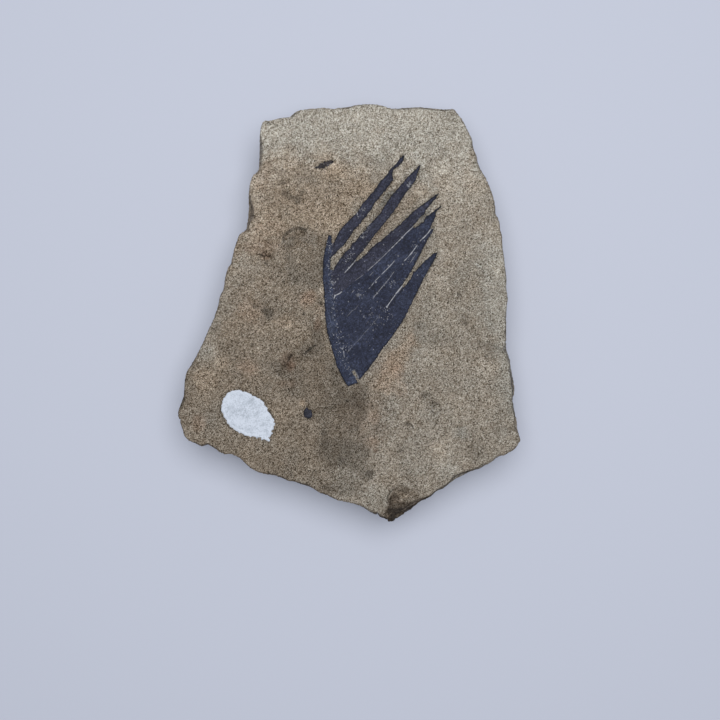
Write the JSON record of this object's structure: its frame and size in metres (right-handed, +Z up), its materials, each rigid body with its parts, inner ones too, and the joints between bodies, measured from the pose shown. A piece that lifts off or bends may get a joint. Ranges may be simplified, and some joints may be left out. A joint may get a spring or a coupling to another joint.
{
  "type": "fossil cycad leaf plate",
  "caption": "Broken slab of fine sandstone that lies flat, with the blue-black carbon film of a feathered cycad leaf on its upper bedding face.",
  "frame": {"origin": "middle of the slab's flat underside", "axes": "+Z up out of the bedding face that carries the leaf, +Y along the slab's length towards its straight broken end, away from its pointed corner"},
  "size_m": [0.0828, 0.102, 0.0156],
  "materials": {
    "sandstone": "rough, freshly split fine sandstone",
    "rachis_carbon": "dull streaked coal film",
    "leaf_carbon": "dull blue-black coal film",
    "loose_carbon": "dull black coal",
    "white_paint": "matt brushed white paint"
  },
  "bodies": {
    "root": {"sandstone_slab": "sandstone", "rachis": "rachis_carbon", "leaflet_1": "leaf_carbon", "leaflet_2": "leaf_carbon", "leaflet_3": "leaf_carbon", "leaflet_4": "leaf_carbon", "leaflet_5": "leaf_carbon", "leaflet_6": "leaf_carbon", "plant_fragment": "loose_carbon", "carbon_speck": "loose_carbon", "label_patch": "white_paint"}
  },
  "joints": []
}
